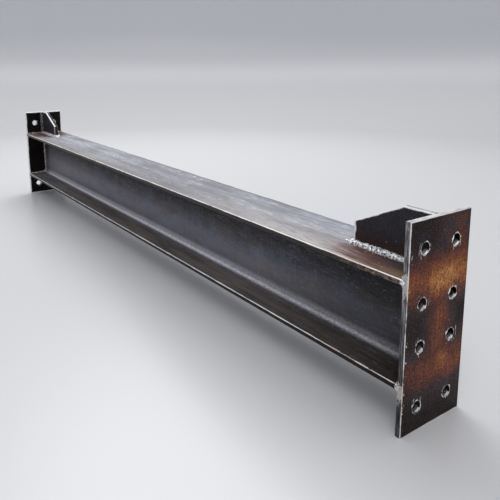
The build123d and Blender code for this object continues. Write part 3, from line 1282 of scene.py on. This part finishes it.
@dataclass(frozen=True)
class WeldRun:
    """One weld: a chain of lens-shaped ripples that are fused into a bead."""

    node: str
    stretches: tuple[Straight | Turn, ...]
    leg: float
    form: BeadForm
    seed: Seed

    def ripples(self) -> Iterator[Ripple]:
        """Spaces the ripples along the run.

        Returns:
            Each one's place.
        """
        inset = self.leg * self.form.shape[0]
        total = sum(stretch.length for stretch in self.stretches)
        count = max(2, round((total - 2 * inset) / self.form.pitch))
        for index in range(count + 1):
            left = inset + index * (total - 2 * inset) / count
            for stretch in self.stretches:
                if left <= stretch.length:
                    break
                left -= stretch.length
            share = min(1.0, left / stretch.length)
            root, outward = stretch.at(share)
            scale = 1 + (stretch.last_scale - 1) * share
            rise = (outward + stretch.away).normalized()
            yield Ripple(root, rise, (outward - stretch.away).normalized(), stretch.lift, scale)

    def build(self, material: bpy.types.Material) -> bpy.types.Object:
        """Models the bead.

        Args:
            material: The weld's finish.

        Returns:
            The bead's object.
        """
        form = self.form
        chance = random.Random(self.seed.value)
        lean = Matrix.Rotation(form.lean, 4, "Y")
        places = []
        for ripple in self.ripples():
            leg = self.leg * ripple.scale * chance.uniform(*form.leg_range)
            along = ripple.across.cross(ripple.rise)
            basis = Matrix((along, ripple.across, ripple.rise)).transposed().to_4x4()
            middle = ripple.root + ripple.rise * (leg * ripple.lift)
            middle += ripple.across * (leg * chance.uniform(-form.wander, form.wander))
            size = Matrix.Diagonal([leg * share for share in form.shape] + [1.0])
            places.append(Matrix.Translation(middle) @ basis @ lean @ size)
        bpy.ops.object.select_all(action="DESELECT")
        bpy.ops.mesh.primitive_uv_sphere_add(segments=form.lens_sides, ring_count=form.lens_rings, radius=1.0)
        bead = join_copies(bpy.context.object, places, f"bead_{self.node}")
        fuse = bead.modifiers.new("fuse", "REMESH")
        fuse.mode = "VOXEL"
        fuse.voxel_size = form.voxel
        bpy.ops.object.modifier_apply(modifier=fuse.name)
        soften = bead.modifiers.new("soften", "SMOOTH")
        soften.iterations = form.smoothing
        bpy.ops.object.modifier_apply(modifier=soften.name)
        finish_weld(bead, material)
        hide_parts(self.node)
        return bead


@dataclass(frozen=True)
class WeldedEnd:
    """The welds at one end of the beam, set out from its sizes."""

    end: End
    sizes: BeamSizes
    tip_clearance: float = 1.5 * MM
    tail_length: float = 26 * MM
    tail_taper: float = 0.35

    @property
    def heel(self) -> float:
        """X of the inner face of the plate."""
        return self.end.value * self.sizes.half_length

    @property
    def away(self) -> Vector:
        """The direction from the plate to the middle of the beam."""
        return Vector((-self.end.value, 0.0, 0.0))

    def foot(self) -> WeldRun:
        """The run round the foot of the gusset, with the tail that it leaves before the nose.

        Returns:
            The run.
        """
        sizes = self.sizes
        nose = self.end.value * sizes.gusset_nose
        half = sizes.half_gusset
        top = sizes.beam_top
        spread = sizes.gusset_weld_leg / 2
        front = Vector((0.0, -1.0, 0.0))
        corner_front = Vector((nose, -half, top))
        corner_back = Vector((nose, half, top))
        tail_start = Vector((nose, -half / 2, top))
        tail_end = tail_start + self.away * self.tail_length
        tail = Straight(tail_start, tail_end, UP - front, UP + front, 0.0, self.tail_taper)
        stretches = (
            Straight(Vector((self.heel, -half, top)), corner_front, front, UP),
            Turn(corner_front, 0.0, front, self.away, UP, spread),
            Straight(corner_front, corner_back, self.away, UP),
            Turn(corner_back, 0.0, self.away, -front, UP, spread),
            Straight(corner_back, Vector((self.heel, half, top)), -front, UP),
            tail,
        )
        node = f"weld_gusset_foot_{self.end.word}"
        return WeldRun(node, stretches, sizes.gusset_weld_leg, GUSSET_BEAD, Seed.FOOT)

    def inside(self, face: Face) -> WeldRun:
        """The run inside the section: under the top flange, down the web, out along the bottom flange.

        Args:
            face: The side of the web.

        Returns:
            The run.
        """
        sizes = self.sizes
        heel = self.heel
        away = self.away
        radius = ROOT_RADIUS
        outward = Vector((0.0, face.value, 0.0))
        tip = face.value * (sizes.half_width - self.tip_clearance)
        web = face.value * sizes.half_web
        turn = face.value * (sizes.half_web + radius)
        upper = sizes.ceiling
        lower = sizes.shelf
        spread = radius - sizes.beam_weld_leg / 2
        stretches = (
            Straight(Vector((heel, tip, upper)), Vector((heel, turn, upper)), DOWN, away),
            Turn(Vector((heel, turn, upper - radius)), radius, DOWN, outward, away, spread),
            Straight(Vector((heel, web, upper - radius)), Vector((heel, web, lower + radius)), outward, away),
            Turn(Vector((heel, turn, lower + radius)), radius, outward, UP, away, spread),
            Straight(Vector((heel, turn, lower)), Vector((heel, tip, lower)), UP, away),
        )
        node = f"weld_web_{face.word}_{self.end.word}"
        return WeldRun(node, stretches, sizes.beam_weld_leg, BEAM_BEAD, Seed.INSIDE)

    def tip(self, level: str, face: Face, low: float) -> WeldRun:
        """The short bead down a flange tip, over the seam with the plate.

        Args:
            level: Which flange: top or bottom.
            face: The side of the beam.
            low: The height of the flange's lower face.

        Returns:
            The run.
        """
        side = face.value * self.sizes.half_width
        seam = Straight(
            Vector((self.heel, side, low)),
            Vector((self.heel, side, low + self.sizes.flange_thickness)),
            Vector((1.0, face.value, 0.0)),
            Vector((-1.0, face.value, 0.0)),
            0.0,
        )
        node = f"weld_tip_{level}_{face.word}_{self.end.word}"
        return WeldRun(node, (seam,), self.sizes.half_tip_weld, TIP_BEAD, Seed.TIP)

    def runs(self) -> list[WeldRun]:
        """Sets out the runs of this end.

        Returns:
            The runs, in the order in which they are laid.
        """
        sizes = self.sizes
        heel = self.heel
        word = self.end.word
        tip = sizes.half_width - self.tip_clearance
        top = sizes.beam_top
        low = sizes.beam_bottom
        leg = sizes.beam_weld_leg
        under = Straight(Vector((heel, -tip, low)), Vector((heel, tip, low)), DOWN, self.away)
        runs = [self.foot(), WeldRun(f"weld_flange_bottom_{word}", (under,), leg, BEAM_BEAD, Seed.UNDER)]
        for face in Face:
            side = face.value
            half = side * sizes.half_gusset
            outward = Vector((0.0, side, 0.0))
            over = Straight(Vector((heel, side * tip, top)), Vector((heel, half, top)), UP, self.away)
            upright_end = Vector((heel, half, sizes.upright_weld_top))
            upright = Straight(Vector((heel, half, top)), upright_end, outward, self.away)
            tail = f"{face.word}_{word}"
            runs += [
                self.inside(face),
                WeldRun(f"weld_flange_top_{tail}", (over,), leg, BEAM_BEAD, Seed.OVER),
                WeldRun(f"weld_gusset_{tail}", (upright,), sizes.gusset_weld_leg, GUSSET_BEAD, Seed.UPRIGHT),
                self.tip("top", face, sizes.ceiling),
                self.tip("bottom", face, low),
            ]
        return runs


@dataclass(frozen=True)
class WeldSpatter:
    """Droplets of weld metal, stuck to the flange and to the sides of a gusset near its foot."""

    end: End
    sizes: BeamSizes
    count: int = 24
    seed: int = 41
    small: float = 0.5 * MM
    large: float = 1.3 * MM
    flange_reach: float = 45 * MM
    gusset_reach: float = 25 * MM
    on_gusset: int = 6
    end_margin: float = 20 * MM
    flatness: float = 0.7
    cut_height: float = -0.3

    def build(self, material: bpy.types.Material) -> bpy.types.Object:
        """Models one droplet and scatters copies of it.

        Args:
            material: The weld's finish.

        Returns:
            The droplets, as one object.
        """
        sizes = self.sizes
        chance = random.Random(self.seed + self.end.value)
        first = sizes.gusset_nose - self.end_margin
        last = sizes.half_length - self.end_margin
        places = []
        for index in range(self.count):
            side = chance.choice((-1, 1))
            x = self.end.value * chance.uniform(first, last)
            stray = chance.random() ** 2
            radius = self.small + (self.large - self.small) * chance.random() ** 3
            toe = sizes.gusset_weld_leg + radius
            place = Vector((x, side * sizes.half_gusset, sizes.beam_top))
            if index >= self.on_gusset or abs(x) < sizes.gusset_nose + toe:
                normal = UP
                place.y += side * (toe + stray * self.flange_reach)
            else:
                normal = Vector((0.0, side, 0.0))
                place.z += toe + stray * self.gusset_reach
            turn = normal.to_track_quat("Z", "Y").to_matrix().to_4x4()
            size = Matrix.Diagonal((radius, radius, radius * self.flatness, 1.0))
            places.append(Matrix.Translation(place) @ turn @ size)
        bpy.ops.object.select_all(action="DESELECT")
        bpy.ops.mesh.primitive_ico_sphere_add(subdivisions=2, radius=1.0)
        drop = bpy.context.object
        bpy.ops.object.mode_set(mode="EDIT")
        bpy.ops.mesh.select_all(action="SELECT")
        floor = (0.0, 0.0, self.cut_height)
        bpy.ops.mesh.bisect(plane_co=floor, plane_no=UP, clear_inner=True, use_fill=True)
        bpy.ops.object.mode_set(mode="OBJECT")
        spatter = join_copies(drop, places, f"weld_spatter_{self.end.word}")
        finish_weld(spatter, material)
        return spatter


@dataclass(frozen=True)
class PhotoCamera:
    """The camera of the photograph, fitted to the corners of the plates."""

    position: tuple[float, float, float] = (1.7061, -0.8180, 0.6548)
    azimuth: float = math.radians(54.153)
    elevation: float = math.radians(10.747)
    focal_px: float = 577.51
    centre_row_px: float = 165.0
    image_px: float = 500.0
    sensor_mm: float = 36.0

    def build(self) -> None:
        """Adds the camera and makes it the scene's own."""
        lens = bpy.data.cameras.new("photo_camera")
        lens.sensor_width = self.sensor_mm
        lens.lens = self.focal_px / self.image_px * self.sensor_mm
        lens.shift_y = (self.centre_row_px - self.image_px / 2) / self.image_px
        camera = bpy.data.objects.new("photo_camera", lens)
        bpy.context.collection.objects.link(camera)
        camera.location = self.position
        camera.rotation_euler = (math.pi / 2 - self.elevation, 0.0, self.azimuth)
        bpy.context.scene.camera = camera


@dataclass(frozen=True)
class Lamp:
    """A round soft lamp that faces the beam."""

    name: str
    place: tuple[float, float, float]
    diameter: float
    watts: float

    def build(self) -> None:
        """Hangs the lamp."""
        light = bpy.data.lights.new(self.name, "AREA")
        light.shape = "DISK"
        light.size = self.diameter
        light.energy = self.watts
        lamp = bpy.data.objects.new(self.name, light)
        bpy.context.collection.objects.link(lamp)
        lamp.location = self.place
        lamp.rotation_euler = (-Vector(self.place)).to_track_quat("-Z", "Y").to_euler()
        lamp.visible_camera = False


@dataclass(frozen=True)
class Studio:
    """A round pale studio: a floor that curves up into a low wall, under soft lamps."""

    floor_colour: str = "#dcdcdd"
    wall_colour: str = "#c4c5ca"
    sky_colour: str = "#f4f6fa"
    sky_strength: float = 0.68
    floor_radius: float = 3.4
    cove_radius: float = 0.9
    cove_steps: int = 12
    wall_height: float = 2.6
    floor_sides: int = 160
    floor_roughness: float = 0.32
    wall_tone_start: float = 0.05
    crease: float = math.radians(30)
    lamps: tuple[Lamp, ...] = (
        Lamp("lamp_overhead", (-1.9, 1.0, 3.0), 2.8, 72.0),
        Lamp("lamp_front_right", (2.4, -1.5, 3.0), 1.6, 28.0),
    )

    def build(self) -> None:
        """Adds the floor, the lamps and the world."""
        self.build_floor()
        for lamp in self.lamps:
            lamp.build()
        world = bpy.data.worlds.new("studio_sky")
        world.use_nodes = True
        sky = world.node_tree.nodes["Background"]
        sky.inputs["Color"].default_value = linear(self.sky_colour)
        sky.inputs["Strength"].default_value = self.sky_strength
        bpy.context.scene.world = world

    def rings(self) -> list[tuple[float, float]]:
        """Sets out the cove and the top of the wall.

        Returns:
            The radius and height of each ring.
        """
        rings = []
        for step in range(1, self.cove_steps + 1):
            angle = math.pi / 2 * step / self.cove_steps
            radius = self.floor_radius + self.cove_radius * math.sin(angle)
            rings.append((radius, self.cove_radius * (1 - math.cos(angle))))
        return rings + [(self.floor_radius + self.cove_radius, self.wall_height)]

    def build_floor(self) -> None:
        """Models the floor and its wall."""
        bpy.ops.object.select_all(action="DESELECT")
        radius = self.floor_radius
        bpy.ops.mesh.primitive_circle_add(vertices=self.floor_sides, radius=radius, fill_type="NGON")
        floor = bpy.context.object
        floor.name = floor.data.name = "studio_floor"
        bpy.ops.object.mode_set(mode="EDIT")
        bpy.ops.mesh.select_mode(type="EDGE")
        bpy.ops.mesh.select_all(action="DESELECT")
        bpy.ops.mesh.select_non_manifold()
        height = 0.0
        for ring_radius, ring_height in self.rings():
            bpy.ops.mesh.extrude_edges_move()
            growth = ring_radius / radius
            bpy.ops.transform.resize(value=(growth, growth, 1.0))
            bpy.ops.transform.translate(value=(0.0, 0.0, ring_height - height))
            radius = ring_radius
            height = ring_height
        bpy.ops.object.mode_set(mode="OBJECT")
        bpy.ops.object.shade_smooth_by_angle(angle=self.crease)
        tree = FinishTree("pale_studio_floor")
        raised = tree.add("MapRange", {0: tree.z, 1: self.wall_tone_start, 2: self.cove_radius}, **SMOOTH)
        colour = tree.layers(self.floor_colour, (raised, self.wall_colour))
        tree.feed(tree.shader, {"Base Color": colour, "Roughness": self.floor_roughness})
        floor.data.materials.append(tree.material)


def dress(node: bpy.types.Object, material: bpy.types.Material) -> None:
    """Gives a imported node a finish.

    Args:
        node: The node's object.
        material: The finish.
    """
    if not node.material_slots:
        node.data.materials.append(material)
    for slot in node.material_slots:
        slot.material = material
    LOG.info("%s: %s", node.name, material.name)


def main() -> None:
    """Builds the dressed beam and its studio."""
    logging.basicConfig(level=logging.INFO, format="%(name)s: %(message)s")
    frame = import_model()
    bpy.ops.object.select_all(action="DESELECT")
    bpy.context.scene.view_settings.view_transform = "Standard"
    sizes = BeamSizes.from_frame(frame["record"])
    nodes = frame["nodes"]

    dress(nodes["i_beam"], MillScale().material(sizes))
    gusset_finish = BlackPlate().material(sizes)
    weld_finish = WeldMetal().material()
    dull_weld_finish = WeldMetal("oxidised_weld_metal", bright_from=0.44, bright_to=0.6).material()
    sooted_weld_finish = WeldMetal("sooted_weld_metal", bright_from=0.54, bright_to=0.64).material()
    plate_finishes = {
        End.RIGHT: HeatTintedPlate(),
        End.LEFT: HeatTintedPlate(bare_steel="#fdfcfb", edge_wear=1.0, outline_wear=(2.4 * MM, 4.6 * MM)),
    }
    for end in End:
        finishes = {f"weld_gusset_foot_{end.word}": weld_finish}
        for face in Face:
            finishes[f"weld_gusset_{face.word}_{end.word}"] = sooted_weld_finish
            for level in ("top", "bottom"):
                finishes[f"weld_tip_{level}_{face.word}_{end.word}"] = weld_finish
        dress(nodes[f"end_plate_{end.word}"], plate_finishes[end].material(sizes, end))
        dress(nodes[f"gusset_{end.word}"], gusset_finish)
        for run in WeldedEnd(end, sizes).runs():
            bead = run.build(finishes.get(run.node, dull_weld_finish))
            LOG.info("%s: %d faces", bead.name, len(bead.data.polygons))
        spatter = WeldSpatter(end, sizes).build(weld_finish)
        LOG.info("%s: %d faces", spatter.name, len(spatter.data.polygons))
    Studio().build()
    PhotoCamera().build()


if __name__ == "__main__":
    main()
